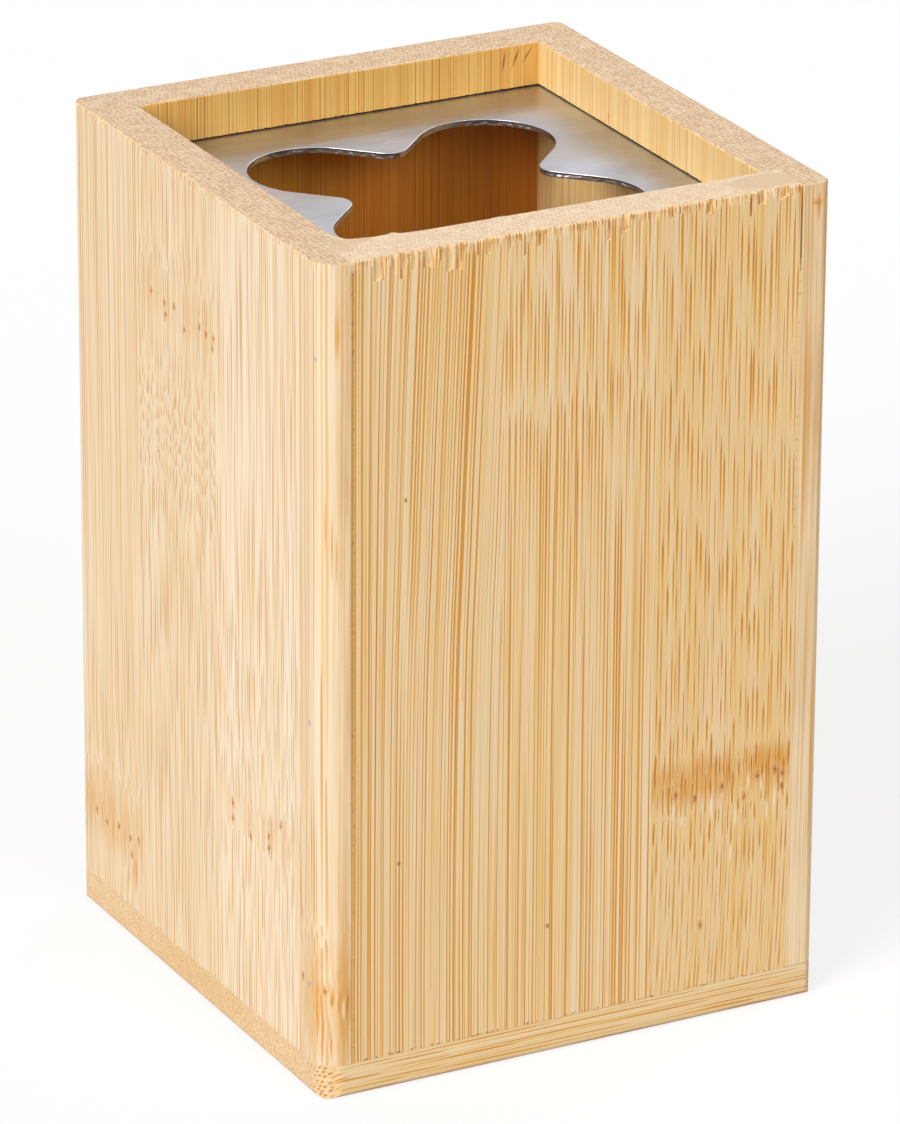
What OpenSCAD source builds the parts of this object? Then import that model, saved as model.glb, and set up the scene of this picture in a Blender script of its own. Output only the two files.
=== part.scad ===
// Square toothbrush holder: a bamboo box with a steel plate held in a saw groove below its rim.
// The four walls and the base are boards, each glued up from flat bamboo strips.
// The origin is the centre of the underside. +X is right, -Y is the front, +Z is up.

/* [Box] */
// Width of the box, left to right
body_w = 70; // [66:0.5:90]
// Depth of the box, front to back
body_d = 70; // [66:0.5:90]
// Height of the box
body_h = 110; // [90:1:140]
// Thickness of the four wall boards
wall_t = 6.5; // [6.2:0.1:8]
// Thickness of the base board
base_t = 4.6; // [3:0.1:8]

/* [Corner joints] */
// Thickness of the tongue on a side board, which covers the end of the front or back board
tongue_t = 4; // [2.5:0.1:4.2]

/* [Edges] */
// Rounding of the upright edge at front left
front_left_r = 3.3; // [0.6:0.1:5]
// Rounding of the upright edge at front right
front_right_r = 1.2; // [0.6:0.1:5]
// Rounding of the upright edge at back right
back_right_r = 2.2; // [0.6:0.1:5]
// Rounding of the upright edge at back left
back_left_r = 2.2; // [0.6:0.1:5]
// Rounding of the inner and outer edges of the rim
rim_r = 0.3; // [0.1:0.05:0.5]
// Rounding of the edge that runs round the underside
foot_r = 1; // [0.3:0.1:2]

/* [Plate and groove] */
// Thickness of the steel plate
plate_t = 0.8; // [0.5:0.1:1.5]
// Depth of the plate's upper face below the rim
plate_drop = 5.9; // [4:0.1:15]
// Height of the gap that the saw groove leaves above the plate
groove_gap = 0.2; // [0.1:0.05:0.8]
// Depth of the saw groove into each wall board
groove_d = 2; // [1.5:0.1:2.2]
// Gap between the plate's edge and the bottom of the groove
plate_edge_gap = 0.2; // [0.1:0.05:0.5]
// Rounding of the plate's own four corners, hidden in the groove
plate_corner_r = 1; // [0.3:0.1:1.5]

/* [Four-lobed cut-out] */
// Width of each of the two crossed slots
slot_w = 17.5; // [12:0.5:19]
// Distance of each lobe's centre from the middle, measured along each side of the plate
lobe_offset = 12; // [11:0.5:14]
// Rounding of the four teeth that point inwards between the lobes
tooth_r = 2.6; // [0.4:0.1:3.5]
// Distance of the whole cut-out in front of the middle of the box
cut_out_forward = 0.3; // [0:0.1:1]

/* [Hidden] */
$fn = 96;
// Overrun of every cut, and of every blank that the box's outline trims
over = 1;

// Inside of the box, and height of the boards that stand on the base
inner_w = body_w - 2 * wall_t;
inner_d = body_d - 2 * wall_t;
wall_h = body_h - base_t;

// Heights above the underside of the box
plate_z = body_h - plate_drop - plate_t;
groove_h = plate_t + groove_gap;

// Outline of the plate, which reaches into the groove on all four sides
plate_w = inner_w + 2 * (groove_d - plate_edge_gap);
plate_d = inner_d + 2 * (groove_d - plate_edge_gap);

// Where each board changes from one strip to the next, as shares of the board's own width. The wall
// boards run from left to right, as each is seen from outside, and the base board from front to back.
// The strips are sawn from wider boards, so the ones at the edges are what the saw left of them.
front_strip_shares = [0.334, 0.678];
side_strip_shares = [0.273, 0.59, 0.917];
base_strip_shares = [0.048, 0.369, 0.692];

// The front and back boards end against the tongues. The others run to the faces of the box.
front_board_w = body_w - 2 * tongue_t;
front_edges = strip_edges(front_board_w, front_strip_shares, 0);
side_edges = strip_edges(body_d, side_strip_shares, over);
base_edges = strip_edges(body_d, base_strip_shares, over);

// Number of strips in each board
front_count = len(front_edges) - 1;
side_count = len(side_edges) - 1;
base_count = len(base_edges) - 1;

// The walls, in the order in which quarter turns about the middle reach them from the front
WALLS = ["front", "right", "back", "left"];

STEEL = [0.66, 0.65, 0.66];
// Neighbouring strips differ a little in tone
BAMBOO = [[0.91, 0.80, 0.60], [0.93, 0.84, 0.66], [0.88, 0.75, 0.53]];

// Edges of the strips of a board about the middle, with an overrun past both sides of the board
function strip_edges(board_w, shares, overrun) = concat(
    -board_w / 2 - overrun,
    [for (share = shares) board_w * (share - 1 / 2)],
    board_w / 2 + overrun
);

function quarter_turns(wall) = search([wall], WALLS)[0];
function faces_depth(wall) = wall == "front" || wall == "back";

// Distance from the middle of the box to the inner face of a wall, and the width of that face
function inner_face(wall) = (faces_depth(wall) ? inner_d : inner_w) / 2;
function inner_span(wall) = faces_depth(wall) ? inner_w : inner_d;

function bamboo(i) = BAMBOO[i % len(BAMBOO)];

// Material outside a quarter round, at a corner whose material lies towards +X and +Y
module corner_waste(r) {
    difference() {
        translate([-over, -over])
            square(r + over);
        translate([r, r])
            circle(r);
    }
}

// Rectangle about the origin, with its own radius at each corner.
// The radii run anticlockwise from the corner at -X, -Y.
module eased_rectangle(w, h, radii) {
    corners = [[-w, -h], [w, -h], [w, h], [-w, h]] / 2;
    difference() {
        square([w, h], center = true);
        for (i = [0:len(radii) - 1])
            translate(corners[i])
                rotate(90 * i)
                    corner_waste(radii[i]);
    }
}

// The whole outer form of the box: its plan, its front view and its side view, intersected
module outer_form() {
    view_radii = [foot_r, foot_r, rim_r, rim_r];
    intersection() {
        linear_extrude(body_h)
            eased_rectangle(body_w, body_d, [front_left_r, front_right_r, back_right_r, back_left_r]);
        translate([0, body_d / 2 + over, body_h / 2])
            rotate([90, 0, 0])
                linear_extrude(body_d + 2 * over)
                    eased_rectangle(body_w, body_h, view_radii);
        translate([-body_w / 2 - over, 0, body_h / 2])
            rotate([90, 0, 90])
                linear_extrude(body_w + 2 * over)
                    eased_rectangle(body_d, body_h, view_radii);
    }
}

// Turns what is modelled as part of the front wall to another wall
module on_wall(wall) {
    rotate(90 * quarter_turns(wall))
        children();
}

// Extrudes a section along the front wall. The section's X is depth into the wall from its inner
// face, and its Y is height above the underside of the box.
module along_wall(wall, from, to) {
    translate([from, -inner_face(wall), 0])
        rotate([90, 0, 90])
            linear_extrude(to - from)
                mirror([1, 0])
                    children();
}

// Upright section of a wall board, with the saw groove that the plate sits in
module wall_section() {
    difference() {
        translate([0, base_t])
            square([wall_t + over, wall_h + over]);
        translate([-over, plate_z])
            square([groove_d + over, groove_h]);
    }
}

// Rounding of the inner edge of the rim, over one side of the opening
module inner_rim_waste(wall) {
    along_wall(wall, -inner_span(wall) / 2, inner_span(wall) / 2)
        translate([0, body_h])
            mirror([0, 1])
                corner_waste(rim_r);
}

// Rabbets at both ends of a side board, which leave its outer tongues over the ends of the
// front and back boards
module end_rabbets(wall) {
    for (end = [0, 1])
        mirror([end, 0, 0])
            along_wall(wall, inner_span(wall) / 2, inner_span(wall) / 2 + wall_t + 2 * over)
                translate([-over, base_t - over])
                    square([wall_t - tongue_t + over, wall_h + 2 * over]);
}

// One strip of a wall board, in its place in the box
module wall_strip(wall, edges, i, rabbeted) {
    color(bamboo(quarter_turns(wall) + i))
        intersection() {
            on_wall(wall)
                difference() {
                    along_wall(wall, edges[i - 1], edges[i])
                        wall_section();
                    inner_rim_waste(wall);
                    if (rabbeted)
                        end_rabbets(wall);
                }
            outer_form();
        }
}

// Strips are numbered left to right as each wall is seen from outside
module front_wall_strip(i) {
    wall_strip("front", front_edges, i, false);
}

module back_wall_strip(i) {
    wall_strip("back", front_edges, i, false);
}

module left_wall_strip(i) {
    wall_strip("left", side_edges, i, true);
}

module right_wall_strip(i) {
    wall_strip("right", side_edges, i, true);
}

// One strip of the base board, which runs from left to right. They are numbered from the front.
module base_strip(i) {
    color(bamboo(i))
        intersection() {
            translate([-body_w / 2 - over, base_edges[i - 1], -over])
                cube([body_w + 2 * over, base_edges[i] - base_edges[i - 1], base_t + over]);
            outer_form();
        }
}

// Slot with round ends, along the diagonal that runs at the given angle
module diagonal_slot(angle) {
    reach = lobe_offset * sqrt(2);
    rotate(angle) {
        square([2 * reach, slot_w], center = true);
        for (end = [-reach, reach])
            translate([end, 0])
                circle(slot_w / 2);
    }
}

// Waste that rounds off the tip of the tooth on the +X side. The two slots meet there at a
// right angle, so a tangent circle sits one radius from both flanks.
module tooth_waste() {
    apex = slot_w / sqrt(2);
    translate([apex, 0])
        rotate(-45)
            corner_waste(tooth_r);
}

// The hole for the brushes: two crossed slots make four lobes, with a tooth between each pair
module four_lobed_hole() {
    for (angle = [45, -45])
        diagonal_slot(angle);
    for (turn = [0:3])
        rotate(90 * turn)
            tooth_waste();
}

module steel_plate() {
    color(STEEL)
        translate([0, 0, plate_z])
            linear_extrude(plate_t)
                difference() {
                    eased_rectangle(plate_w, plate_d, [for (corner = [0:3]) plate_corner_r]);
                    translate([0, -cut_out_forward])
                        four_lobed_hole();
                }
}

for (i = [1:front_count]) {
    front_wall_strip(i);
    back_wall_strip(i);
}
for (i = [1:side_count]) {
    left_wall_strip(i);
    right_wall_strip(i);
}
for (i = [1:base_count]) {
    base_strip(i);
}
steel_plate();
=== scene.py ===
import math
import random
from dataclasses import dataclass

import bmesh
import bpy
from mathutils import Matrix, Vector, geometry, noise


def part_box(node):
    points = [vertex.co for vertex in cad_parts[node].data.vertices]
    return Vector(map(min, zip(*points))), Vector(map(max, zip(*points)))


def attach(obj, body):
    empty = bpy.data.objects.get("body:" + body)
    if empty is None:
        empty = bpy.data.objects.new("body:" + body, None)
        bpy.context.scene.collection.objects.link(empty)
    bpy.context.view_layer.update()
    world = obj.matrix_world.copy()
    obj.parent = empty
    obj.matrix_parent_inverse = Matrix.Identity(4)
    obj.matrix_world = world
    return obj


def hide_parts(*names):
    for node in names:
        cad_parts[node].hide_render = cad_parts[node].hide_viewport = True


# The looks of a square bamboo toothbrush holder. Lengths are in millimetres, and MM turns them into
# Blender's metres. The origin is the centre of the underside, +X is right, -Y the front and +Z up.
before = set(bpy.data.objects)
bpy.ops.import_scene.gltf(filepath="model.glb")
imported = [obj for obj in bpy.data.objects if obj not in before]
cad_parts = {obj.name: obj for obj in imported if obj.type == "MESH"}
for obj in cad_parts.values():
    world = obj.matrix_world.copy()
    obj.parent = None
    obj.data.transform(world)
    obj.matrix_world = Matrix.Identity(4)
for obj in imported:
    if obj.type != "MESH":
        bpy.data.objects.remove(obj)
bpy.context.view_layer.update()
MM = 0.001

HALF_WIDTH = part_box("base_strip_1")[1].x / MM
HALF_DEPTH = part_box("base_strip_4")[1].y / MM
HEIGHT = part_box("front_wall_strip_1")[1].z / MM
BASE_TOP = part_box("base_strip_1")[1].z / MM
WALL = HALF_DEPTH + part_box("front_wall_strip_1")[1].y / MM
TONGUE_X = -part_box("front_wall_strip_1")[0].x / MM
PLATE_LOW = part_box("steel_plate")[0].z / MM
PLATE_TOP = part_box("steel_plate")[1].z / MM
# The gap that the saw groove leaves above the plate
GROOVE_GAP = 0.2
GROOVE_TOP = PLATE_TOP + GROOVE_GAP

# Camera
CAMERA_AZIMUTH = math.radians(-27.83)
CAMERA_ELEVATION = math.radians(22.10)
CAMERA_ROLL = math.radians(-0.32)
CAMERA_AIM = Vector((0.48, -0.88, 53.49))
CAMERA_DISTANCE = 989.5
CAMERA_LENS = 250
CAMERA_NEAR = 50
CAMERA_FAR = 20000

# Light. A white level surface shows the four levels together. The key comes from the left, the fill
# from the front, and a weaker lamp from the right.
SKY_LEVEL = 0.345
KEY_LEVEL = 0.44
KEY_DIRECTION = Vector((-0.82, -0.38, 0.52)).normalized()
FILL_LEVEL = 0.115
FILL_DIRECTION = Vector((0.10, -0.85, 0.50)).normalized()
SIDE_LEVEL = 0.085
SIDE_DIRECTION = Vector((0.80, 0.35, 0.45)).normalized()
LAMP_SOFTNESS = math.radians(32)
FLOOR_BOUNCE = 0.4
# Share of the floor that is plain white to the camera. The rest shows the object's shadow.
FLOOR_WHITE = 0.75
# The floor reaches this far each way. It lies a hair below the box, so that no two faces coincide.
FLOOR_REACH = 4000
FLOOR_DROP = 0.02


def linear(hex_colour):
    """An sRGB colour written as six hex digits, as the linear RGBA that Blender's sockets take."""
    channels = [int(hex_colour[i:i + 2], 16) / 255 for i in (0, 2, 4)]
    return [c / 12.92 if c <= 0.04045 else ((c + 0.055) / 1.055) ** 2.4 for c in channels] + [1]


# Nodes

class Value:
    """A number that a material's nodes work out at each point. Arithmetic on it adds nodes."""

    def __init__(self, nodes, socket):
        self.nodes = nodes
        self.socket = socket

    def __add__(self, other):
        return self.nodes.math("ADD", self, other)

    def __sub__(self, other):
        return self.nodes.math("SUBTRACT", self, other)

    def __rsub__(self, other):
        return self.nodes.math("SUBTRACT", other, self)

    def __mul__(self, other):
        return self.nodes.math("MULTIPLY", self, other)

    def __truediv__(self, other):
        return self.nodes.math("DIVIDE", self, other)

    def __abs__(self):
        return self.nodes.math("ABSOLUTE", self)


class Nodes:
    """The node tree of one material, with a short call for each kind of node it uses."""

    def __init__(self, tree):
        self.tree = tree
        tree.nodes.clear()

    def add(self, kind, inputs, **settings):
        """A new node of that kind, with each input set to a number or linked to a Value."""
        node = self.tree.nodes.new(kind)
        for name, setting in settings.items():
            setattr(node, name, setting)
        for key, value in inputs.items():
            if isinstance(value, Value):
                self.tree.links.new(value.socket, node.inputs[key])
            else:
                node.inputs[key].default_value = value
        return node

    def value(self, node, output=0):
        return Value(self, node.outputs[output])

    def math(self, operation, *values):
        return self.value(self.add("ShaderNodeMath", dict(enumerate(values)), operation=operation))

    def ramp(self, value, low, high, to_low=0.0, to_high=1.0):
        """A smooth step: to_low where the value is at low, and to_high where it is at high."""
        inputs = {"Value": value, "From Min": low, "From Max": high, "To Min": to_low, "To Max": to_high}
        return self.value(self.add("ShaderNodeMapRange", inputs, interpolation_type="SMOOTHSTEP"))

    def bell(self, value, centre, half_width):
        """1 at the centre, falling smoothly to 0 at half_width on both sides."""
        return self.ramp(abs(value - centre), half_width, 0)

    def vector(self, x, y, z=0.0):
        return self.value(self.add("ShaderNodeCombineXYZ", {0: x, 1: y, 2: z}))

    def split(self, vector):
        """The three parts of a vector."""
        node = self.add("ShaderNodeSeparateXYZ", {0: vector})
        return [self.value(node, i) for i in range(3)]

    def noise(self, x, y, z, detail=1.0):
        """Smooth noise about 0, mostly within -0.5 and 0.5."""
        inputs = {"Vector": self.vector(x, y, z), "Scale": 1.0, "Detail": detail}
        return self.value(self.add("ShaderNodeTexNoise", inputs)) - 0.5

    def random(self, value):
        """Three random numbers that stay the same while the value does."""
        node = self.add("ShaderNodeTexWhiteNoise", {"W": value}, noise_dimensions="1D")
        return self.split(self.value(node, "Color"))

    def curve(self, value, points):
        """A smooth curve of the value through given points."""
        xs = [p[0] for p in points]
        ys = [p[1] for p in points]
        span_x = xs[-1] - xs[0]
        span_y = max(ys) - min(ys) or 1.0
        share = (value - xs[0]) / span_x
        node = self.add("ShaderNodeFloatCurve", {"Value": share})
        curve = node.mapping.curves[0]
        while len(curve.points) < len(points):
            curve.points.new(0.5, 0.5)
        for point, x, y in zip(curve.points, xs, ys):
            point.location = ((x - xs[0]) / span_x, (y - min(ys)) / span_y)
        node.mapping.update()
        return self.value(node) * span_y + min(ys)

    def mix(self, factor, colour_a, colour_b, blend="MIX"):
        settings = {"data_type": "RGBA", "blend_type": blend, "clamp_result": True}
        node = self.add("ShaderNodeMix", {0: factor, 6: colour_a, 7: colour_b}, **settings)
        return self.value(node, 2)

    def nearest(self, x, y, places):
        """How far a point is from the nearest of some places."""
        nearest = None
        for place_x, place_y in places:
            off_x = x - place_x
            off_y = y - place_y
            square = off_x * off_x + off_y * off_y
            nearest = square if nearest is None else self.math("MINIMUM", nearest, square)
        return self.math("SQRT", nearest)

    def place(self):
        """Where a point is in the object's own frame, in millimetres."""
        node = self.add("ShaderNodeTexCoord", {})
        return [axis / MM for axis in self.split(self.value(node, "Object"))]

    def normal(self):
        """Which way the surface faces, in the object's own frame."""
        node = self.add("ShaderNodeTexCoord", {})
        return self.split(self.value(node, "Normal"))

    def surface(self, inputs, height, depth):
        """Ends the tree in a Principled surface, with a bump of that depth in millimetres."""
        bump = self.add("ShaderNodeBump", {"Height": height, "Distance": depth * MM, "Strength": 1.0})
        shader = self.add("ShaderNodeBsdfPrincipled", {"Normal": self.value(bump), **inputs})
        self.add("ShaderNodeOutputMaterial", {"Surface": self.value(shader)})


# Bamboo. Its grain is a bundle of fibres every half millimetre, seen end on as a dot and along the
# board as a line. Where the fibres drift towards the face, each line is cut into dashes: a bundle
# shows only while it crosses the face, widest and darkest at the end that points away from the
# growth ring, and fading out along its tail.

@dataclass
class Strip:
    """How the grain of one bamboo strip looks. Places along it and across it are in millimetres."""
    # The wood between the bundles, pale to warm, then a bundle's tail, its dark end and its bright edge
    pale: str = "F6E1BA"
    warm: str = "EECC96"
    line: str = "E2AC60"
    tip: str = "CE8C40"
    light: str = "FBE9C4"
    # How strongly the bundles show, and that times a share near the foot of the strip
    strength: float = 0.9
    low_fade: float = 1.0
    # From one column of bundles to the next, from one bundle to the next in depth, and half its width
    spacing: float = 0.5
    layer: float = 1.0
    bundle: float = 0.17
    # Places along the strip, each with how far the fibres have drifted towards the face or lean aside
    drift: tuple = ((0, 0), (110, 0.5))
    lean: tuple = None
    # Where the growth ring crosses the strip, how strong its tint is and how far it reaches
    ring: float = None
    ring_depth: float = 0.3
    ring_width: float = 4.2
    knots: tuple = ()
    marks: tuple = ()


# Colours of single marks on a strip
PALE = "F5DDB0"
LIGHT = "F9E7C2"
GOLD = "DB9A3A"
ORANGE = "D38A3C"
BROWN = "9A6230"
GREY = "B3A2AC"

# What the strips of the front board have in common, then those of the left board's front and back half
FRONT = dict(pale="F3DAB4", warm="ECC47E", line="DE9C2A", tip="CC8412", strength=1.22, bundle=0.175)
LEFT = dict(pale="F5E7D0", warm="F1D7B0", line="E2AA62", tip="C8863C", strength=0.95, spacing=0.55)
LEFT_BACK = dict(pale="F0DFC2", warm="E8C798", line="DDA660", tip="C28440", strength=0.95, spacing=0.55)
# The growth ring darkens the wood under it by these shares of red, green and blue
RING_TINT = (0.84, 0.54, 0.12, 1)

# Each mark has its place across the strip, lowest and highest point, half width and colour. Each knot,
# the end of a bundle that turns out at the ring, has its place across the strip and along it. At the
# front left corner the place across runs on over the rounded edge.
STRIPS = {
    "front_wall_strip_1": Strip(
        **FRONT, drift=((0, 0), (110, 0.35)), lean=((0, 0), (42, 0), (75, 0.9), (110, 2.1)), spacing=0.44,
        marks=((-23.6, 20, 108, 1.0, PALE), (-23.6, 77.8, 78.8, 0.25, BROWN),
               (-24.4, 29.9, 30.9, 0.3, BROWN)),
    ),
    "front_wall_strip_2": Strip(
        **FRONT, drift=((0, 0), (60, 0.3), (80, 0.7), (92, 1.4), (110, 2.4)), spacing=0.48,
        marks=((-3.4, 17.1, 18.1, 0.3, BROWN),),
    ),
    "front_wall_strip_3": Strip(
        **{**FRONT, "pale": "EED0A4", "bundle": 0.19}, spacing=0.66, ring=32, ring_depth=1.0,
        drift=((0, 3.7), (28, 0.6), (31, 0), (34, 0.5), (45, 1.7), (80, 4.5), (110, 6.4)),
        lean=((0, -1.6), (27, 0), (80, 0), (110, 0)), low_fade=0.7,
        knots=((14.6, 31.7), (17.3, 30.7), (21.2, 31.6), (24.4, 29.7), (26.3, 32.1), (29.9, 31.8),
               (29.9, 30), (28.8, 32.5), (18.4, 13.1)),
        marks=((25.0, 29.7, 33.6, 0.24, LIGHT), (26.9, 29.0, 32.6, 0.22, LIGHT),
               (28.8, 24.5, 32.2, 0.24, LIGHT), (27.8, 25.0, 29.8, 0.22, LIGHT),
               (19.7, 26.6, 31.8, 0.28, LIGHT), (15.4, 26.9, 29.4, 0.26, LIGHT),
               (23.2, 25.0, 29.4, 0.24, LIGHT), (22.6, 20.2, 24.4, 0.22, LIGHT),
               (14.2, 28.2, 31.0, 0.24, LIGHT)),
    ),
    "left_wall_strip_1": Strip(
        **LEFT_BACK,
        drift=((0, 1.8), (14, 0), (24, 1.2), (45, 1.9), (110, 2.4)), ring=14,
        ring_depth=0.55, ring_width=6.5,
        knots=((29.7, 14.3), (26.7, 13.8), (23.1, 14.5), (19.7, 14.2), (17.1, 14.7), (19.3, 12)),
        marks=((18.5, 20, 95, 0.8, "ECC48A"), (18.5, 6, 15, 1.0, "E3A560"), (26.0, 9, 14, 1.4, "E9BE86"),
               (32.9, 10.6, 11.6, 0.5, GREY), (30.8, 12, 19, 0.24, GOLD), (28.2, 10, 18, 0.22, ORANGE),
               (24.8, 9.5, 17.5, 0.24, GOLD), (21.4, 9, 16.5, 0.24, ORANGE),
               (17.9, 6, 13, 0.26, ORANGE), (20.4, 5.5, 11, 0.24, GOLD), (32.5, 13, 19, 0.22, GOLD)),
    ),
    "left_wall_strip_2": Strip(
        **LEFT_BACK, drift=((0, 8.5), (40, 7.0), (65, 5.6), (91, 0), (100, 0.9), (110, 1.3)), ring=91,
        bundle=0.2,
        knots=((16.3, 90.3), (11.9, 91.8), (8.1, 91.4), (5.4, 91.9), (7.9, 89.9), (2.6, 89.7),
               (-1.7, 91.5), (-3.6, 91.1), (-5.6, 91.2), (-5.3, 89.9)),
    ),
    "left_wall_strip_3": Strip(
        **LEFT, drift=((0, 2.0), (27, 0.4), (30, 0), (33, 0.3), (46, 1.5), (62, 2.4), (110, 3.6)), ring=30,
        bundle=0.2,
        knots=((-10.4, 31), (-10.4, 28.9), (-15.4, 28.4), (-20.5, 30.4), (-20.5, 28.9), (-23.8, 33.2)),
    ),
    # This strip's ground is darker than the rest of the left board's: painted shade on its rounded front
    # edge, which the lamps light more brightly than the flat face
    "left_wall_strip_4": Strip(
        **{**LEFT, "pale": "EAD7BA", "warm": "E9CDA4"}, drift=((0, 2.2), (15, 0), (26, 1.6), (110, 2.6)),
        ring=12, ring_depth=0.75, ring_width=11,
        knots=((-29.8, 15.3), (-34.9, 14.7)),
        marks=((-33.1, 97.2, 98.2, 0.45, GREY), (-31.6, 49.4, 50.6, 0.5, GREY),
               (-31.6, 14.4, 15.4, 0.5, GREY), (-35.0, 71, 82, 0.22, GOLD), (-36.15, 68, 80, 0.26, GOLD),
               (-36.9, 67, 77, 0.2, GOLD), (-37.0, 96, 106, 0.5, GOLD), (-37.9, -12, 40, 1.5, "D9A050"),
               (-34.4, 4.8, 16.4, 0.24, ORANGE), (-36.2, 12.0, 15.8, 0.5, "DD9C34"),
               (-36.2, 12.3, 14.4, 0.2, "BE7A28"), (-36.0, 15.4, 19.6, 0.24, PALE),
               (-34.75, 14.8, 19.0, 0.24, PALE), (-37.35, 10.4, 16.0, 0.22, ORANGE),
               (-38.0, 10.0, 14.4, 0.24, PALE), (-38.5, 10.2, 15.2, 0.14, BROWN),
               (-36.05, 4.9, 10.2, 0.28, ORANGE)),
    ),
    "back_wall_strip_2": Strip(drift=((0, 3.8), (62, 0), (75, 1.2), (110, 3.0)), ring=62),
    "right_wall_strip_1": Strip(
        marks=((-36.7, 104, 109.8, 0.3, ORANGE), (-36.9, 106.8, 108.0, 1.2, ORANGE),
               (-38.0, 50, 104, 0.35, GOLD), (-36.0, 8, 60, 0.3, GOLD)),
    ),
    "right_wall_strip_2": Strip(drift=((0, 1.2), (38, 0), (50, 1.2), (110, 4.2)), ring=38),
    "right_wall_strip_3": Strip(drift=((0, 3.6), (74, 0), (84, 1.1), (110, 1.9)), ring=74),
}
BASE_STRIP = Strip(**FRONT, spacing=0.58, drift=((-35, 0), (-12, 1.5), (8, 2.2), (35, 3.6)))

# The grain inside the box, cut from nearer the pith, with a longer pitch
INSIDE = dict(strength=0.95, spacing=1.1, layer=5.0, bundle=0.13, drift=((0, 0), (110, 0.6)))
INNER = {
    # The back wall's darker, more orange colours than the other inner walls are painted shade and painted
    # light bounced from the wood round it
    "back": Strip(**INSIDE, pale="DFB665", warm="D19A46", line="BE7828", tip="9A5816", light="F6DA90"),
    "right": Strip(**INSIDE, pale="E8CC94", warm="DDB26C", line="CE9448", tip="B0743A", light="F8E4B4"),
}
INNER["front"] = INNER["left"] = INNER["right"]
# Painted light and shade below the plate: the colour of the wood there is multiplied by these shares of red,
# green and blue, at the left and at the right of each wall. They stand in for the light that comes in
# through the cut-out and bounces round the box, and for the plate's shade on the back wall.
PAINTED_LIGHT_AND_SHADE_BELOW_PLATE = {
    "back": ((1.4, 0.82, 0.38, 1), (0.80, 0.49, 0.18, 1)),
    "front": ((1.3, 1.4, 1.5, 1), (1.3, 1.4, 1.5, 1)),
    "left": ((1.3, 1.4, 1.5, 1), (1.3, 1.4, 1.5, 1)),
    "right": ((1.5, 1.6, 1.55, 1), (1.5, 1.6, 1.55, 1)),
}

# A knot's width as a share of its length
KNOT_SQUASH = 0.55

# A mark narrower than this each way keeps its full colour up to this share of its half width
THIN_MARK = 0.6
THIN_MARK_CORE = 0.45

# Keeps the random grain of each strip apart from its neighbours'
SEED_STEP = 31.7

# Depth of the relief in the bamboo, on the plate's faces and in the side of its cut-out
BAMBOO_RELIEF = 0.03
STEEL_RELIEF = 0.004
SHEARED_RELIEF = 0.02

# Single marks on the inner faces above the plate: place, lowest and highest point, half width, how far
# it leans over per millimetre of height, and colour
INNER_MARKS = {
    "back": ((23.4, 106.2, 109.9, 0.24, 0.13, "8A5216"), (25.1, 106.6, 109.9, 0.28, 0.4, "8A5216"),
             (26.8, 107.0, 109.9, 0.24, 0.7, "8A5216")),
    "right": ((9.8, 104.3, 106.6, 0.22, 0.0, "C06A14"),),
}

# Height along the grain, place across the board and depth below its outer face
BOARD_AXES = {
    "front": lambda x, y, z: (z, x, y + HALF_DEPTH),
    "back": lambda x, y, z: (z, x, HALF_DEPTH - y),
    "left": lambda x, y, z: (z, y, x + HALF_WIDTH),
    "right": lambda x, y, z: (z, y, HALF_WIDTH - x),
    "base": lambda x, y, z: (x, y + z, z),
}

# Dots of the end grain: their pitch along a row and from row to row, and both at the end of the base
DOT_PITCH = 0.60
DOT_ROW = 0.66
BASE_DOT_PITCH = 0.62

# Places on the rim where the dots don't show: x, y, and half the length and width
RIM_PATCHES = ((-27.3, -28.2, 2.8, 1.3), (27.4, -31.8, 4.9, 2.7), (-29.8, -29.6, 1.3, 1.8))


def grain(n, strip, along, across, deep, seed):
    """Bamboo cut along the grain: its colour, the bundles in it and the fine unevenness between them.
    The bundles stand in columns across the board. Down a column, one follows the other."""
    if strip.lean:
        across = across - n.curve(along, strip.lean) * n.ramp(across, -TONGUE_X, -TONGUE_X + 10)
    if strip.ring is not None:
        across = across + n.noise(along / 3, across / 3, seed) * n.bell(along, strip.ring, 9) * 0.5
    wander = n.noise(across / 5 + seed, deep / 5, along / 60) * 0.4
    place = (across + wander) / strip.spacing + seed
    column = n.math("FLOOR", place)
    random_shift, random_pace, random_start = n.random(column)
    aside = abs(place - column - 0.5 - (random_shift - 0.5) * 0.5) * strip.spacing
    sunk = (deep + n.curve(along, strip.drift)) / strip.layer
    unrest = n.noise(column * 3.3, sunk * 0.8, seed) * 0.9
    run = sunk * (random_pace * 0.4 + 0.8) + random_start * 9 + unrest
    step = n.math("FLOOR", run)
    random_length, random_width, random_dark = n.random(column * 7.13 + step * 3.71)
    tail = (step + 1 - run) / (random_length * 0.5 + 0.75)
    swell = n.ramp(tail, 0, 0.3) * n.ramp(tail, 1.1, 0.45)
    half = swell * (random_width * 0.55 + 0.45) * strip.bundle
    bundle = n.ramp(aside, half * 1.15, half * 0.55)
    cluster = n.ramp(n.noise(across / 1.1 + seed, deep, along / 90), -0.35, 0.3, 0.75, 1)
    show = bundle * cluster * (random_dark * 0.3 + 0.7) * n.ramp(tail, 1.1, 0.5, 0.3, 1) * strip.strength
    show = show * n.ramp(along, 14, 27, strip.low_fade, 1)

    fine = n.noise((across + wander) * 4.5 + seed, deep * 4.5, along / 40, detail=2.0)
    broad = n.noise(across / 1.4 + seed, deep / 1.4, along / 80, detail=2.0)
    ground = n.mix(n.ramp(fine * 1.1 + broad * 1.2, -0.5, 0.45), linear(strip.pale), linear(strip.warm))
    thread = n.ramp(fine, 0.02, 0.24) * 0.55 * strip.strength
    ground = n.mix(thread, ground, linear(strip.line))
    edge = n.bell(aside, half + 0.09, 0.09) * swell * 0.35
    ground = n.mix(edge, ground, linear(strip.light))
    colour = n.mix(show, ground, n.mix(n.ramp(tail, 0.8, 0.1), linear(strip.line), linear(strip.tip)))
    return colour, bundle, fine


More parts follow.
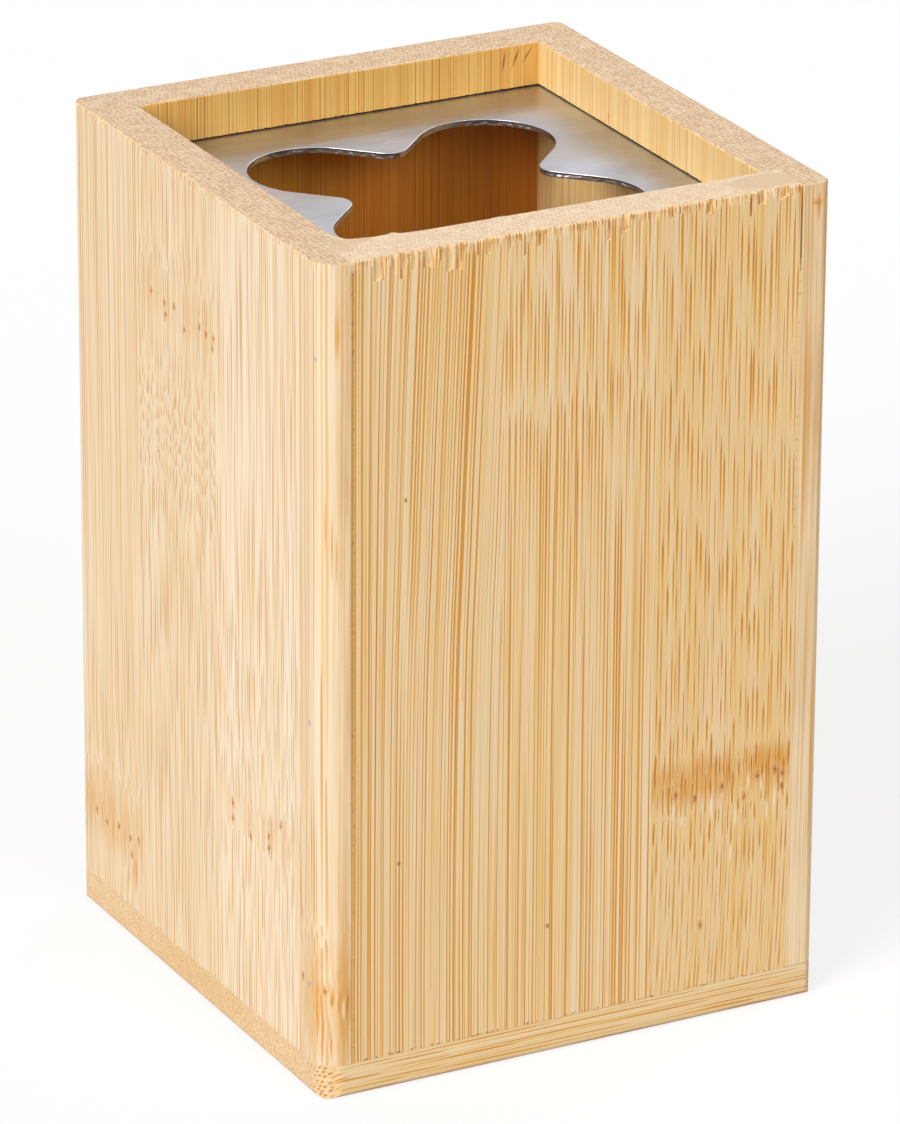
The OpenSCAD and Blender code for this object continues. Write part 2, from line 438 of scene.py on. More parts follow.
def ring_marks(n, strip, colour, along, around, seed):
    """The growth ring: an orange band, the dots of the bundles that turn out there, and pale strokes."""
    streaks = n.noise(around * 3.5 + seed, 0.0, along / 5, detail=2.0)
    if strip.ring is not None:
        ragged = n.noise(around * 0.35 + seed, 0.0, along / 10, detail=2.0) * 3 + streaks * 4
        strong = n.ramp(n.noise(around / 3.2 + seed, 0.0, 0.0), -0.2, 0.12, 0.3, 1)
        off_ring = abs(along + ragged - strip.ring - 1.2)
        band = n.ramp(off_ring, strip.ring_width, 0.8) * strong * strip.ring_depth
        colour = n.mix(band * n.ramp(streaks, -0.2, 0.08, 0.2, 1), colour, RING_TINT, blend="MULTIPLY")
    for place, low, high, half_width, mark_colour in strip.marks:
        bend = n.noise(along / 3, place / 5, 0.0) * n.ramp(along, 28, 18, 0.1, 0.8)
        core = half_width * (THIN_MARK_CORE if half_width < THIN_MARK else 0)
        mark = n.ramp(abs(around + bend - place), half_width, core)
        mark = mark * n.bell(along, (low + high) / 2, (high - low) / 2)
        mark = mark * n.ramp(streaks, -0.3, 0.0, 0.5, 1)
        colour = n.mix(mark * 0.85, colour, linear(mark_colour))
    if strip.knots:
        shake_x = n.noise(around * 1.5, along * 1.5, seed) * 0.5
        shake_z = n.noise(around * 1.5, along * 1.5, seed + 9) * 0.5
        squashed = [(place, height * KNOT_SQUASH) for place, height in strip.knots]
        nearest = n.nearest(around + shake_x, (along + shake_z) * KNOT_SQUASH, squashed)
        nearest = nearest + n.noise(around * 3, along * 2, seed) * 0.3
        colour = n.mix(n.ramp(nearest, 0.85, 0.4) * 0.15, colour, linear(LIGHT))
        colour = n.mix(n.ramp(nearest, 0.6, 0.22) * 0.6, colour, linear(ORANGE))
        colour = n.mix(n.ramp(nearest, 0.26, 0.08) * 0.75, colour, linear("96561E"))
    return colour


def end_grain(n, board, across, deep, seed, patches):
    """Bamboo cut across the grain: staggered rows of red-brown dots, fainter at the front."""
    bend = n.noise(across / 5 + seed, deep / 5, 0.0) * 1.2
    row_place = (deep + bend) / DOT_ROW + seed
    row = n.math("FLOOR", row_place)
    place = across / DOT_PITCH + row * 0.5
    column = n.math("FLOOR", place)
    shift_x, shift_y, tone = n.random(column * 5.17 + row * 9.31)
    off_x = (place - column - 0.5 - (shift_x - 0.5) * 0.5) * DOT_PITCH
    off_y = (row_place - row - 0.5 - (shift_y - 0.5) * 0.5) * DOT_ROW
    ragged = n.noise(across * 3, deep * 3, seed) * 0.3
    distance = n.math("SQRT", off_x * off_x + off_y * off_y) + ragged
    cloud = n.noise(across / 2.5 + seed, deep / 2.5, 0.0, detail=2.0)
    dots = n.ramp(distance, 0.42, 0.12) * n.ramp(tone + cloud * 2, -0.2, 1, 0.4, 0.9)
    speckle = n.noise(across * 4, deep * 4, seed, detail=3.0)
    pale, warm = ("FBE5C2", "F5D6AC") if board == "front" else ("F2DAB4", "E4C498")
    ground = n.mix(n.ramp(cloud + speckle * 0.7, -0.45, 0.45), linear(pale), linear(warm))
    for mask in patches:
        dots = dots * (1 - mask * 0.7)
        ground = n.mix(mask * 0.75, ground, linear("DCBC94"))
    dots = dots * (0.5 if board == "front" else 0.85)
    return n.mix(dots, ground, linear("C28C70")), dots


def base_end(n, across, deep, seed):
    """The end grain of the base, sanded until only a fine speckle is left. Its dots show in one corner."""
    speckle = n.noise(across * 3, deep * 4, seed, detail=3.0)
    cloud = n.noise(across / 2 + seed, deep / 2, 0.0, detail=2.0)
    ground = n.mix(n.ramp(cloud, -0.4, 0.4), linear("F1D4A8"), linear("E8C08C"))
    specks = n.ramp(speckle, -0.05, 0.15)
    colour = n.mix(specks * 0.65, ground, linear("CF9C60"))
    colour = n.mix(n.bell(across, 2, 22) * 0.3, colour, linear("D8AC66"))
    row_place = deep / BASE_DOT_PITCH + seed
    row = n.math("FLOOR", row_place)
    place = across / BASE_DOT_PITCH + row * 0.5
    column = n.math("FLOOR", place)
    shift_x, shift_y, tone = n.random(column * 3.17 + row * 7.31)
    off_x = (place - column - 0.5 - (shift_x - 0.5) * 0.4) * BASE_DOT_PITCH
    off_y = (row_place - row - 0.5 - (shift_y - 0.5) * 0.4) * BASE_DOT_PITCH
    distance = n.math("SQRT", off_x * off_x + off_y * off_y)
    crescent = n.ramp(distance, 0.26, 0.2) * n.ramp(off_x + off_y, -0.12, 0.02)
    corner = n.ramp(across, 5 - HALF_DEPTH, 1 - HALF_DEPTH)
    colour = n.mix(corner * 0.6, colour, linear("E6C898"))
    colour = n.mix(crescent * corner * n.ramp(tone, 0, 0.4, 0.3, 0.9), colour, linear("B97E36"))
    return colour, specks


def tongue_end(n, deep, along, seed):
    """The narrow edge of a side board that shows at the corner of the box."""
    lines = n.noise(deep * 3.5 + seed, 0.0, along / 30, detail=2.0)
    cloud = n.noise(deep / 1.5 + seed, 0.0, along / 18, detail=2.0)
    shade = lines * 1.1 + cloud * 0.7 + n.ramp(along, 30, 95, -0.08, 0.06)
    return n.mix(n.ramp(shade, -0.3, 0.35), linear("F6DBB2"), linear("D8AB70"))


def inner_face(n, board, along, across, deep, seed):
    """The colour of a wall inside the box, with painted light and shade below the plate."""
    colour = grain(n, INNER[board], along, across, deep, seed + 5)[0]
    for place, low, high, half_width, slope, mark_colour in INNER_MARKS.get(board, ()):
        leaning = across - (along - (low + high) / 2) * slope
        mark = n.bell(leaning, place, half_width) * n.bell(along, (low + high) / 2, (high - low) / 2)
        colour = n.mix(mark, colour, linear(mark_colour))
    # Painted light and shade below the plate, blended from the left of the wall to its right
    shade = n.mix(n.ramp(across, -14, 16), *PAINTED_LIGHT_AND_SHADE_BELOW_PLATE[board])
    return n.mix(n.ramp(along, PLATE_TOP, PLATE_LOW), colour, shade, blend="MULTIPLY")


def torn_edge(n, board, colour, along, across, deep, seed):
    """The upper edge, torn by the saw: pale fibres with the gaps between them darkened as painted shade, and
    the chips' floors, pale with patches of painted shade.
    """
    edge = n.ramp(along + n.noise(across * 2.5, 0.0, seed) * 1.8, HEIGHT - 1.8, HEIGHT - 0.5)
    edge = edge * (0.75 if board == "front" else 0.3)
    ribs = n.noise(across * 3.2, deep * 2, along / 4)
    colour = n.mix(edge * n.ramp(ribs, 0.0, 0.12), colour, linear("FBE6BE"))
    # Painted shade in the gaps between the fibres
    colour = n.mix(edge * n.ramp(ribs, -0.04, -0.14) * 0.5, colour, linear("C88C42"))
    if board == "front":
        chipped = n.ramp(deep, 0.08, 0.22) * n.ramp(along, HEIGHT - 4.0, HEIGHT - 3.4)
        # The chips' floors are pale wood, with painted shade in brown patches along the gaps between the
        # fibres
        chip_floor_and_painted_shade = n.mix(n.ramp(ribs, 0.02, -0.14), linear("F2D4A0"), linear("CC9248"))
        colour = n.mix(chipped * 0.8, colour, chip_floor_and_painted_shade)
    return colour


def rim_patches(n, x, y):
    """1 inside each smooth place on the rim, and 0 outside it."""
    patches = []
    for patch_x, patch_y, half_x, half_y in RIM_PATCHES:
        off_x = (x - patch_x) / half_x
        off_y = (y - patch_y) / half_y
        wave = n.noise(x / 1.5, y / 1.5, 0.0) * 0.8
        patches.append(n.ramp(off_x * off_x + off_y * off_y + wave, 1.2, 0.5))
    return patches


def corner_joints(n, node_name, colour, along, across):
    """The joints between the front board and the tongues: dark glue at the left, and at the right dark
    dots below a crack."""
    if node_name == "front_wall_strip_1":
        ragged = n.noise(along * 1.6, 0.0, 0.0, detail=2.0) * 0.35
        glue = n.ramp(across + ragged, -TONGUE_X + 0.6, -TONGUE_X + 0.25) * n.ramp(along, 5, 75, 0.6, 0.9)
        colour = n.mix(glue, colour, linear("C48A30"))
        specks = n.ramp(n.noise(across * 3, along * 1.1, 3.0), 0.1, 0.25)
        colour = n.mix(glue * specks * 0.7, colour, linear("7C4C18"))
    if node_name == "front_wall_strip_3":
        dotted = n.ramp(n.noise(along * 1.3, 0.0, 5.0), 0.0, 0.3) * n.ramp(along, 38, 70, 0, 0.6)
        crack = n.ramp(along + n.noise(along * 1.5, 0.0, 2.0) * 4, 98, 101)
        joint = n.ramp(across, TONGUE_X - 0.32, TONGUE_X - 0.18) * n.math("MAXIMUM", dotted, crack)
        colour = n.mix(joint, colour, linear("8C4E04"))
    return colour


def foot_joint(n, board, colour, along, across, seed):
    """The joint between a wall and the base: dark specks, and a thin line on the two hidden walls."""
    foot = n.ramp(along, BASE_TOP + 0.4, BASE_TOP + 0.15) * (0.75 if board == "front" else 0.2)
    specks = n.ramp(n.noise(across * 2.2, along * 2.5, seed), 0.05, 0.16) * foot
    colour = n.mix(specks, colour, linear("8E5E28"))
    if board in ("right", "back"):
        colour = n.mix(n.ramp(along, BASE_TOP + 0.15, BASE_TOP + 0.05) * 0.4, colour, linear("A8743A"))
    return colour


def bamboo(node_name):
    """The material of one bamboo strip: its grain and marks, its joints and its end grain."""
    board = node_name.split("_")[0]
    strip = STRIPS.get(node_name, BASE_STRIP if board == "base" else Strip())
    material = bpy.data.materials.new("bamboo_" + node_name)
    material.use_nodes = True
    n = Nodes(material.node_tree)
    x, y, z = n.place()
    along, across, deep = BOARD_AXES[board](x, y, z)
    normal_x, normal_y, normal_z = n.normal()
    seed = SEED_STEP * (1 + sorted(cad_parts).index(node_name))

    colour, bundle, fine = grain(n, strip, along, across, deep, seed)
    if board in ("left", "right"):
        is_tongue = n.ramp(abs(normal_y), 0.88, 0.98)
        colour = n.mix(is_tongue, colour, tongue_end(n, deep, along, seed))
    colour = ring_marks(n, strip, colour, along, across - deep, seed)
    colour = corner_joints(n, node_name, colour, along, across)
    if board == "base":
        joint = n.ramp(z, BASE_TOP - 0.25, BASE_TOP - 0.05) * 0.2
        colour = n.mix(joint, colour, linear("B58A50"))
        end_colour, dots = base_end(n, y, z, seed)
        is_end = n.ramp(abs(normal_x), 0.3, 0.6)
    else:
        colour = torn_edge(n, board, colour, along, across, deep, seed)
        inner = n.ramp(deep, WALL - 0.35, WALL - 0.1)
        colour = n.mix(inner, colour, inner_face(n, board, along, across, deep, seed))
        colour = foot_joint(n, board, colour, along, across, seed)
        end_colour, dots = end_grain(n, board, across, deep, seed, rim_patches(n, x, y))
        is_end = n.ramp(normal_z, 0.55, 0.8)
    colour = n.mix(is_end, colour, end_colour)

    roughness = n.ramp(fine, -0.4, 0.4, 0.46, 0.60)
    height = fine * 0.5 - bundle * 0.4 - dots * is_end * 0.5
    n.surface({"Base Color": colour, "Roughness": roughness}, height, BAMBOO_RELIEF)
    return material


# Pieces

# Place along a wall, depth below its outer face and height
WALL_PLACES = {
    "front": lambda u, d, z: (u, d - HALF_DEPTH, z),
    "back": lambda u, d, z: (u, HALF_DEPTH - d, z),
    "left": lambda u, d, z: (d - HALF_WIDTH, u, z),
    "right": lambda u, d, z: (HALF_WIDTH - d, u, z),
}

# Chips torn from the front wall's upper edge by the saw: first and last x, lowest z
CHIPS = (
    (-28.0, -26.5, 107.2), (-25.7, -24.9, 107.6), (-24.5, -23.8, 106.9), (-23.0, -22.3, 107.8),
    (-21.3, -20.0, 107.6), (-19.2, -18.7, 108.1), (-18.3, -17.2, 106.9), (-16.9, -16.0, 106.7),
    (-14.1, -13.8, 108.2), (-12.9, -12.2, 108.1), (-9.7, -9.5, 108.3), (-7.7, -7.4, 107.1),
    (-5.9, -5.3, 108.0), (3.7, 4.2, 107.2), (5.6, 6.6, 107.9), (12.4, 12.9, 108.6),
    (17.4, 18.5, 108.3), (23.5, 23.9, 107.0), (24.6, 25.8, 108.3), (27.3, 29.1, 108.7),
)

# Depth of the chips, and the share of it that is left at their lowest ends
CHIP_DEPTH = 0.45
CHIP_TAPER = 0.55

# How far the tip of a notch wanders up and down, as a share of the notch, and where along its span
JAG = 0.2
TIP_SHARES = (0, 0.3, 0.65, 1)

# Gaps torn between the fibres of an upper edge: the longest, and how deep they are at the top
FRONT_TEARS = (1.5, 0.34)
OTHER_TEARS = (0.8, 0.15)
# The shortest as a share of the longest
SHORTEST_TEAR = 0.25
# Their least and greatest width, the wood left between them, and the share of the depth at their tips
TEAR_WIDTHS = (0.12, 0.3)
TEAR_STEPS = (0.12, 0.34)
TEAR_TAPER = 0.1
# How far the shapes that cut the upper edge reach past the wood
OVERRUN = 0.3
# Wood left whole beside the edge of a strip, and beside a chip
EDGE_MARGIN = 0.1
CHIP_MARGIN = 0.05

# Splinters torn from the groove's upper lip: their width, the wood left between them, how high they
# reach, how deep they go, and how far from the middle of a wall they run
LIP_WIDTHS = (0.2, 0.7)
LIP_STEPS = (0.3, 2.2)
LIP_RISES = (0.02, 0.07)
LIP_DEPTH = 0.6
LIP_REACH = 28.3
# How far the shapes that cut the lip reach below it, and past the inner face of the wall
LIP_BELOW = 0.1
LIP_OVERRUN = 0.2

# The bead's height below the rim at its top and foot, and the size of its foot as a share of its top
BEAD_TOP = 0.12
BEAD_FOOT = 1.6
BEAD_FOOT_SHARE = 0.2

# Two faces that meet at more than this many degrees keep a sharp edge
STRIP_CREASE = 20
PLATE_CREASE = 50

# Points of a CAD mesh closer than this are one, and faces that meet at fewer degrees than this are one
WELD = 0.001
FLAT = 0.5

# Plan of the bead of glue and splinters in the inner corner at front left, anticlockwise
GLUE_BEAD = (
    (-28.6, -28.6), (-17.2, -28.6), (-18.0, -28.42), (-19.6, -28.3), (-20.8, -28.2), (-21.2, -27.8),
    (-21.7, -27.4), (-22.4, -27.75), (-24.1, -27.85), (-26.0, -27.5), (-27.2, -27.2), (-27.8, -26.85),
    (-28.1, -26.0), (-28.6, -25.4),
)


class Notches:
    """Small notches in the edges of a wall, gathered in one mesh that is then cut from a strip."""

    def __init__(self, wall, seed):
        self.place = WALL_PLACES[wall]
        self.random = random.Random(seed)
        self.points = []
        self.faces = []

    def add(self, span, open_z, tip_z, open_d, bottom_d, taper):
        """A notch over a span of the wall, from height open_z to a ragged tip at about tip_z. It reaches
        from depth open_d to bottom_d, and at its tip to that times taper."""
        first, last = span
        jag = JAG * min(abs(tip_z - open_z), last - first)
        tips = [(share, tip_z + self.random.uniform(-jag, jag)) for share in TIP_SHARES]
        outline = [(0, open_z)] + tips + [(1, open_z)]
        start = len(self.points)
        for share, z in outline:
            slope = (z - tip_z) / (open_z - tip_z)
            deep_share = taper + (1 - taper) * slope
            u = first + (last - first) * share
            for d in (open_d, bottom_d * deep_share):
                self.points.append(Vector(self.place(u, d, z)) * MM)
        count = len(outline)
        self.faces.append([start + 2 * i for i in range(count)])
        self.faces.append([start + 2 * i + 1 for i in reversed(range(count))])
        for i in range(count):
            j = (i + 1) % count
            self.faces.append([start + 2 * i, start + 2 * i + 1, start + 2 * j + 1, start + 2 * j])

    def cut_from(self, piece):
        """Takes the notches out of a piece's mesh."""
        mesh = bpy.data.meshes.new("notches")
        mesh.from_pydata(self.points, [], self.faces)
        shape = bmesh.new()
        shape.from_mesh(mesh)
        bmesh.ops.recalc_face_normals(shape, faces=shape.faces)
        shape.to_mesh(mesh)
        shape.free()
        cutter = bpy.data.objects.new("notches", mesh)
        bpy.context.scene.collection.objects.link(cutter)
        cut = piece.modifiers.new("cut", "BOOLEAN")
        cut.operation = "DIFFERENCE"
        cut.solver = "EXACT"
        cut.object = cutter
        seen = piece.evaluated_get(bpy.context.evaluated_depsgraph_get())
        result = bpy.data.meshes.new_from_object(seen)
        piece.modifiers.clear()
        piece.data = result
        bpy.data.objects.remove(cutter)


def plain_copy(node_name):
    """A new object with a node's shape, its flat faces merged."""
    shape = bmesh.new()
    shape.from_mesh(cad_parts[node_name].data)
    bmesh.ops.remove_doubles(shape, verts=shape.verts, dist=WELD * MM)
    angle = math.radians(FLAT)
    bmesh.ops.dissolve_limit(shape, angle_limit=angle, verts=shape.verts, edges=shape.edges)
    shape.verts.index_update()
    mesh = bpy.data.meshes.new("dressed_" + node_name)
    mesh.from_pydata([v.co for v in shape.verts], [], [[v.index for v in f.verts] for f in shape.faces])
    shape.free()
    piece = bpy.data.objects.new("dressed_" + node_name, mesh)
    bpy.context.scene.collection.objects.link(piece)
    return piece


def torn_edges(node_name, wall):
    """The notches in one strip: torn fibres along its upper outer edge, and the groove's ragged lip."""
    low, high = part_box(node_name)
    axis = 0 if wall in ("front", "back") else 1
    first = low[axis] / MM
    last = high[axis] / MM
    seed = sorted(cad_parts).index(node_name)
    notches = Notches(wall, seed)
    chips = CHIPS if wall == "front" else ()
    top = HEIGHT + OVERRUN
    for x0, x1, low_z in chips:
        if first < x0 and x1 < last:
            notches.add((x0, x1), top, low_z, -OVERRUN, CHIP_DEPTH, CHIP_TAPER)
    length, depth = FRONT_TEARS if wall == "front" else OTHER_TEARS
    edge = first + EDGE_MARGIN
    while edge < last - 2 * TEAR_WIDTHS[1]:
        width = notches.random.uniform(*TEAR_WIDTHS)
        tip = HEIGHT - notches.random.uniform(SHORTEST_TEAR, 1) * length
        taken = any(x0 - CHIP_MARGIN < edge + width and edge < x1 + CHIP_MARGIN for x0, x1, low_z in chips)
        if not taken:
            notches.add((edge, edge + width), top, tip, -OVERRUN, depth, TEAR_TAPER)
        edge += width + notches.random.uniform(*TEAR_STEPS)
    edge = max(first, -LIP_REACH) + EDGE_MARGIN
    while edge < min(last, LIP_REACH) - LIP_WIDTHS[1] - EDGE_MARGIN:
        width = notches.random.uniform(*LIP_WIDTHS)
        tip = GROOVE_TOP + notches.random.uniform(*LIP_RISES)
        span = (edge, edge + width)
        notches.add(span, GROOVE_TOP - LIP_BELOW, tip, WALL - LIP_DEPTH, WALL + LIP_OVERRUN, 1)
        edge += width + notches.random.uniform(*LIP_STEPS)
    return notches


def add_glue_bead(piece):
    """The bead just below the rim, narrowing downwards into the corner of the box."""
    corner = Vector(GLUE_BEAD[0])
    shape = bmesh.new()
    shape.from_mesh(piece.data)
    upper = [shape.verts.new(Vector((x, y, HEIGHT - BEAD_TOP)) * MM) for x, y in GLUE_BEAD]
    lower = []
    for place in GLUE_BEAD:
        x, y = corner.lerp(Vector(place), BEAD_FOOT_SHARE)
        lower.append(shape.verts.new(Vector((x, y, HEIGHT - BEAD_FOOT)) * MM))
    shape.faces.new(upper)
    for i in range(len(upper)):
        j = (i + 1) % len(upper)
        shape.faces.new((upper[i], lower[i], lower[j], upper[j]))
    shape.faces.new(list(reversed(lower)))
    shape.to_mesh(piece.data)
    shape.free()


def finish_piece(piece, node_name, materials, crease):
    """Gives a piece its materials and smooth shading, and lets it stand for a CAD node."""
    piece.data.materials.clear()
    for material in materials:
        piece.data.materials.append(material)
    piece.data.shade_smooth()
    piece.data.set_sharp_from_angle(angle=math.radians(crease))
    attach(piece, "root")
    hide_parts(node_name)


def dress_strip(node_name):
    """One bamboo strip again, with its torn edges and its material."""
    wall = node_name.split("_")[0]
    piece = plain_copy(node_name)
    if wall != "base":
        torn_edges(node_name, wall).cut_from(piece)
    if node_name == "front_wall_strip_1":
        add_glue_bead(piece)
    slot = "bamboo_base" if wall == "base" else "bamboo_wall"
    finish_piece(piece, node_name, [bamboo(node_name)], STRIP_CREASE)


# Steel plate

# Marks on the plate: x, y, half length and half width
SCRATCHES = (
    (-11.6, 25.6, 0.9, 0.10), (-10.0, 25.7, 0.5, 0.12), (-0.7, 26.6, 0.45, 0.10), (-4.7, 23.5, 0.16, 0.14),
    (7.0, 25.0, 0.16, 0.12), (23.4, 5.4, 0.8, 0.07), (23.9, -10.2, 0.2, 0.12), (-16.3, 28.0, 0.2, 0.15),
)

# From one point to the next along the plate's outer edge, and round its cut-out
OUTER_STEP = 2.0
CUT_OUT_STEP = 0.22


def steel():
    """The plate's brushed faces, with a few bright marks."""
    material = bpy.data.materials.new("brushed_steel")
    material.use_nodes = True
    n = Nodes(material.node_tree)
    x, y, z = n.place()
    brushed = n.noise(x / 6, y * 5, z * 5, detail=3.0)
    grit = n.noise(x * 3, y * 6, z * 6, detail=2.0)
    cloud = n.noise(x / 12, y / 12, 0.0, detail=2.0)
    colour = n.mix(n.ramp(brushed * 0.7 + cloud + grit * 0.3, -0.5, 0.5), linear("A3A3A7"), linear("CDCED6"))
    for mark_x, mark_y, half_length, half_width in SCRATCHES:
        mark = n.bell(x, mark_x, half_length) * n.bell(y + (x - mark_x) * 0.12, mark_y, half_width)
        colour = n.mix(mark * 0.8, colour, linear("F2EFEA"))
    roughness = n.ramp(brushed + grit * 0.5, -0.5, 0.5, 0.26, 0.40)
    inputs = {"Base Color": colour, "Roughness": roughness, "Metallic": 1.0}
    n.surface(inputs, brushed + grit * 0.5, STEEL_RELIEF)
    return material


def sheared_steel():
    """The side of the cut-out, torn by the punch below a bright rolled edge."""
    material = bpy.data.materials.new("sheared_steel")
    material.use_nodes = True
    n = Nodes(material.node_tree)
    x, y, z = n.place()
    tears = n.noise(x * 3.2, y * 3.2, z * 0.8, detail=3.0)
    fleck = n.ramp(n.noise(x * 4, y * 4, z * 3, detail=2.0), 0.02, 0.16)
    torn = n.ramp(z, PLATE_TOP - 0.12, PLATE_TOP - 0.22)
    dark = n.mix(n.ramp(tears, -0.25, 0.25), linear("3A2C24"), linear("7A6A5C"))
    dark = n.mix(fleck * 0.75, dark, linear("D4D0CA"))
    colour = n.mix(torn, linear("DEDEE0"), dark)
    roughness = n.ramp(tears, -0.4, 0.4, 0.35, 0.6)
    inputs = {"Base Color": colour, "Roughness": roughness, "Metallic": 0.9}
    n.surface(inputs, tears, SHEARED_RELIEF)
    return material


def outlines(node_name):
    """The closed outlines of a flat node's upper face, the longest first."""
    shape = bmesh.new()
    shape.from_mesh(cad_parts[node_name].data)
    bmesh.ops.remove_doubles(shape, verts=shape.verts, dist=WELD * MM)
    shape.verts.index_update()
    links = {}
    for edge in shape.edges:
        if sum(face.normal.z > 0.9 for face in edge.link_faces) == 1:
            if all(vert.co.z > (PLATE_TOP - 0.01) * MM for vert in edge.verts):
                a, b = edge.verts
                links.setdefault(a.index, []).append(b.index)
                links.setdefault(b.index, []).append(a.index)
    places = {vert.index: vert.co.to_2d() / MM for vert in shape.verts}
    shape.free()
    loops = []
    while links:
        loop = [min(links)]
        while True:
            onward = [i for i in links.pop(loop[-1]) if i in links]
            if not onward:
                break
            loop.append(onward[0])
        loops.append([places[i] for i in loop])
    return sorted(loops, key=lambda loop: -max(p.length for p in loop))


def closer(loop, step):
    """The same outline anticlockwise, with points at most about a step apart."""
    area = sum(a.cross(b) for a, b in zip(loop, loop[1:] + loop[:1]))
    if area < 0:
        loop = loop[::-1]
    points = []
    for a, b in zip(loop, loop[1:] + loop[:1]):
        count = max(1, round((b - a).length / step))
        points += [a.lerp(b, i / count) for i in range(count)]
    return points


def spread(loop, distances):
    """The outline with each point moved outwards by its own distance."""
    moved = []
    for i, point in enumerate(loop):
        run = (loop[(i + 1) % len(loop)] - loop[i - 1]).normalized()
        moved.append(point + Vector((run.y, -run.x)) * distances[i])
    return moved


def cut_out_rings():
    """The rings of points down the side of the cut-out: how far each lies below the plate's upper face
    and inside the metal, and how deep its tears are."""
    thickness = PLATE_TOP - PLATE_LOW
    rolled = [(0.0, 0.13, 0.0), (0.012, 0.06, 0.0), (0.045, 0.015, 0.0), (0.11, 0.0, 0.01)]
    torn = [(thickness * share, 0.02, 0.1) for share in (0.28, 0.42, 0.56, 0.7, 0.85)]
    return rolled + torn + [(thickness, 0.04, 0.06)]


def torn_ring(hole, drop, inset, torn):
    """One of those rings of points round the cut-out."""
    distances = []
    for p in hole:
        tear = abs(noise.noise(Vector((p.x * 3.5, p.y * 3.5, drop * 1.5))))
        distances.append(inset + torn * tear * 2)
    return [Vector((p.x, p.y, PLATE_TOP - drop)) for p in spread(hole, distances)]


def dress_plate():
    """The plate again, with the edge of its cut-out rolled at the top and torn below, as punching
    leaves it."""
    steps = (OUTER_STEP, CUT_OUT_STEP)
    outer, hole = [closer(loop, step) for loop, step in zip(outlines("steel_plate"), steps)]
    rings = cut_out_rings()
    points = [Vector((p.x, p.y, z)) for z in (PLATE_TOP, PLATE_LOW) for p in outer]
    for drop, inset, torn in rings:
        points += torn_ring(hole, drop, inset, torn)
    faces = []
    count = len(outer)
    for i in range(count):
        j = (i + 1) % count
        faces.append((i, i + count, j + count, j))
    first_ring = 2 * count
    size = len(hole)
    for ring in range(len(rings) - 1):
        start = first_ring + ring * size
        for i in range(size):
            j = (i + 1) % size
            faces.append((start + i, start + j, start + j + size, start + i + size))
    side_faces = len(faces)
    for level, ring in ((0, 0), (1, len(rings) - 1)):
        ids = list(range(level * count, (level + 1) * count))
        ring_ids = list(range(first_ring + ring * size, first_ring + (ring + 1) * size))
        flat = [[points[i] for i in ids], [points[i] for i in ring_ids]]
        for triangle in geometry.tessellate_polygon(flat):
            faces.append([(ids + ring_ids)[i] for i in triangle])
    mesh = bpy.data.meshes.new("dressed_steel_plate")
    mesh.from_pydata([p * MM for p in points], [], faces)
    shape = bmesh.new()
    shape.from_mesh(mesh)
    bmesh.ops.recalc_face_normals(shape, faces=shape.faces)
    shape.to_mesh(mesh)
    shape.free()
    for polygon in mesh.polygons:
        polygon.material_index = 1 if count <= polygon.index < side_faces else 0
    piece = bpy.data.objects.new("dressed_steel_plate", mesh)
    bpy.context.scene.collection.objects.link(piece)
    finish_piece(piece, "steel_plate", [steel(), sheared_steel()], PLATE_CREASE)


# Stage

def make_camera():
    """The camera at the photograph's viewing angle."""
    camera = bpy.data.objects.new("camera", bpy.data.cameras.new("camera"))
    bpy.context.scene.collection.objects.link(camera)
    flat = math.cos(CAMERA_ELEVATION)
    away = Vector((math.sin(CAMERA_AZIMUTH), -math.cos(CAMERA_AZIMUTH), 0))
    back = away * flat + Vector((0, 0, math.sin(CAMERA_ELEVATION)))
    right = Vector((0, 0, 1)).cross(back).normalized()
    up = back.cross(right)
    turned_right = right * math.cos(CAMERA_ROLL) - up * math.sin(CAMERA_ROLL)
    turned_up = right * math.sin(CAMERA_ROLL) + up * math.cos(CAMERA_ROLL)
    turn = Matrix((turned_right, turned_up, back)).transposed().to_4x4()
    camera.matrix_world = Matrix.Translation((CAMERA_AIM + back * CAMERA_DISTANCE) * MM) @ turn
    camera.data.lens = CAMERA_LENS
    camera.data.clip_start = CAMERA_NEAR * MM
    camera.data.clip_end = CAMERA_FAR * MM
    bpy.context.scene.camera = camera


def shown_rays(n):
    """1 for the rays that carry what the camera sees of the surroundings, 0 for those that light."""
    node = n.add("ShaderNodeLightPath", {})
    seen = n.math("MAXIMUM", n.value(node, "Is Camera Ray"), n.value(node, "Is Glossy Ray"))
    return n.math("MAXIMUM", seen, n.value(node, "Is Transmission Ray"))


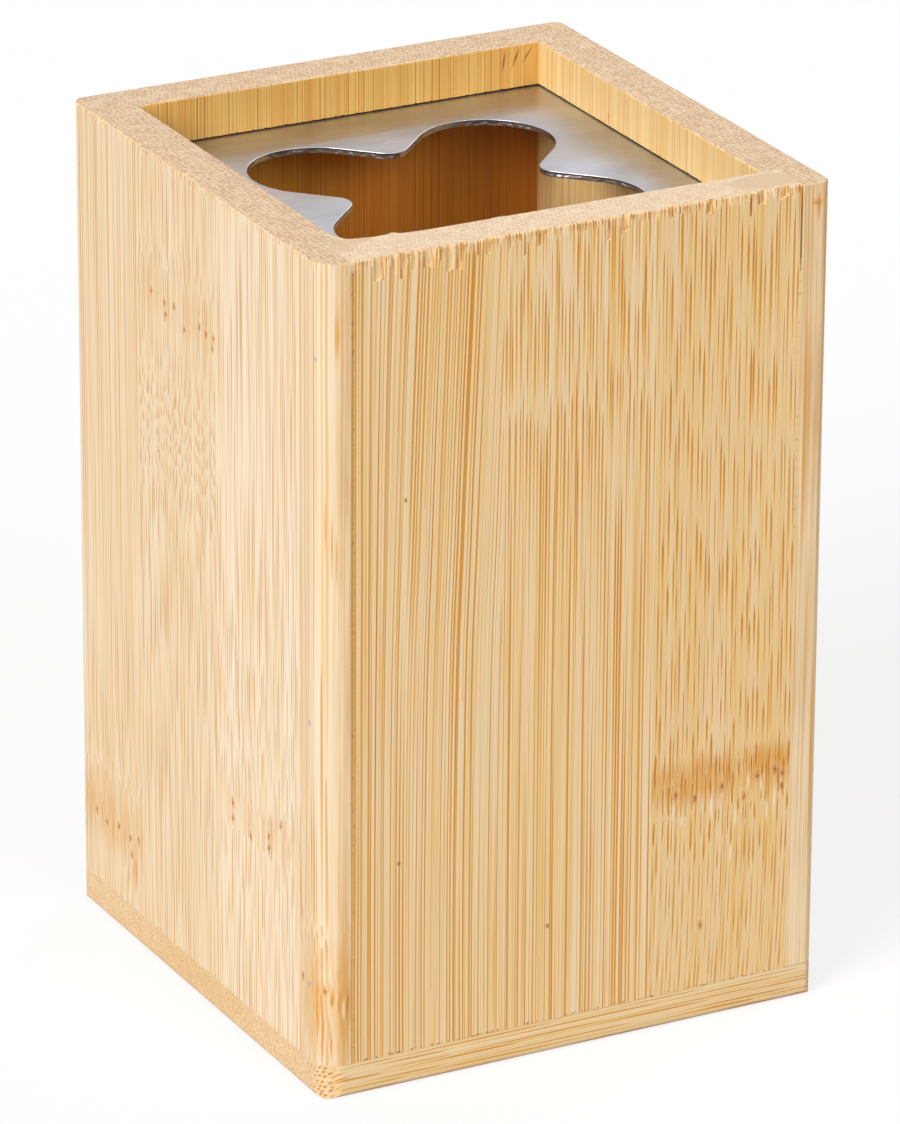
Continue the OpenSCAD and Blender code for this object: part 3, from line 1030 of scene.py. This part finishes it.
def make_world():
    """A white surround, which lights the object at the level of the sky."""
    world = bpy.data.worlds.new("studio")
    bpy.context.scene.world = world
    world.use_nodes = True
    n = Nodes(world.node_tree)
    strength = shown_rays(n) * (1 - SKY_LEVEL) + SKY_LEVEL
    background = n.add("ShaderNodeBackground", {"Color": (1, 1, 1, 1), "Strength": strength})
    n.add("ShaderNodeOutputWorld", {"Surface": n.value(background)})


def make_lamp(name, level, direction):
    """A wide, even lamp that gives a level white surface that share of full brightness."""
    lamp = bpy.data.lights.new(name, "SUN")
    lamp.energy = level / direction.z * math.pi
    lamp.angle = LAMP_SOFTNESS
    light = bpy.data.objects.new(name, lamp)
    light.rotation_euler = direction.to_track_quat("Z", "Y").to_euler()
    bpy.context.scene.collection.objects.link(light)


def make_floor():
    """A plain floor that is nearly white to the camera, but for the object's shadow."""
    half = FLOOR_REACH * MM
    z = -FLOOR_DROP * MM
    mesh = bpy.data.meshes.new("floor")
    corners = [(-half, -half, z), (half, -half, z), (half, half, z), (-half, half, z)]
    mesh.from_pydata(corners, [], [(0, 1, 2, 3)])
    floor = bpy.data.objects.new("floor", mesh)
    bpy.context.scene.collection.objects.link(floor)
    material = bpy.data.materials.new("floor")
    material.use_nodes = True
    n = Nodes(material.node_tree)
    shown = shown_rays(n)
    colour = n.mix(shown, (FLOOR_BOUNCE, FLOOR_BOUNCE, FLOOR_BOUNCE, 1), (1, 1, 1, 1))
    lit = n.value(n.add("ShaderNodeBsdfDiffuse", {"Color": colour}))
    white = n.value(n.add("ShaderNodeEmission", {"Color": (1, 1, 1, 1), "Strength": 1.0}))
    shader = n.add("ShaderNodeMixShader", {0: shown * FLOOR_WHITE, 1: lit, 2: white})
    n.add("ShaderNodeOutputMaterial", {"Surface": n.value(shader)})
    mesh.materials.append(material)


make_camera()
make_world()
make_lamp("key", KEY_LEVEL, KEY_DIRECTION)
make_lamp("fill", FILL_LEVEL, FILL_DIRECTION)
make_lamp("side", SIDE_LEVEL, SIDE_DIRECTION)
make_floor()
bpy.context.scene.view_settings.view_transform = "Standard"

for name in sorted(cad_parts):
    if name != "steel_plate":
        dress_strip(name)
dress_plate()
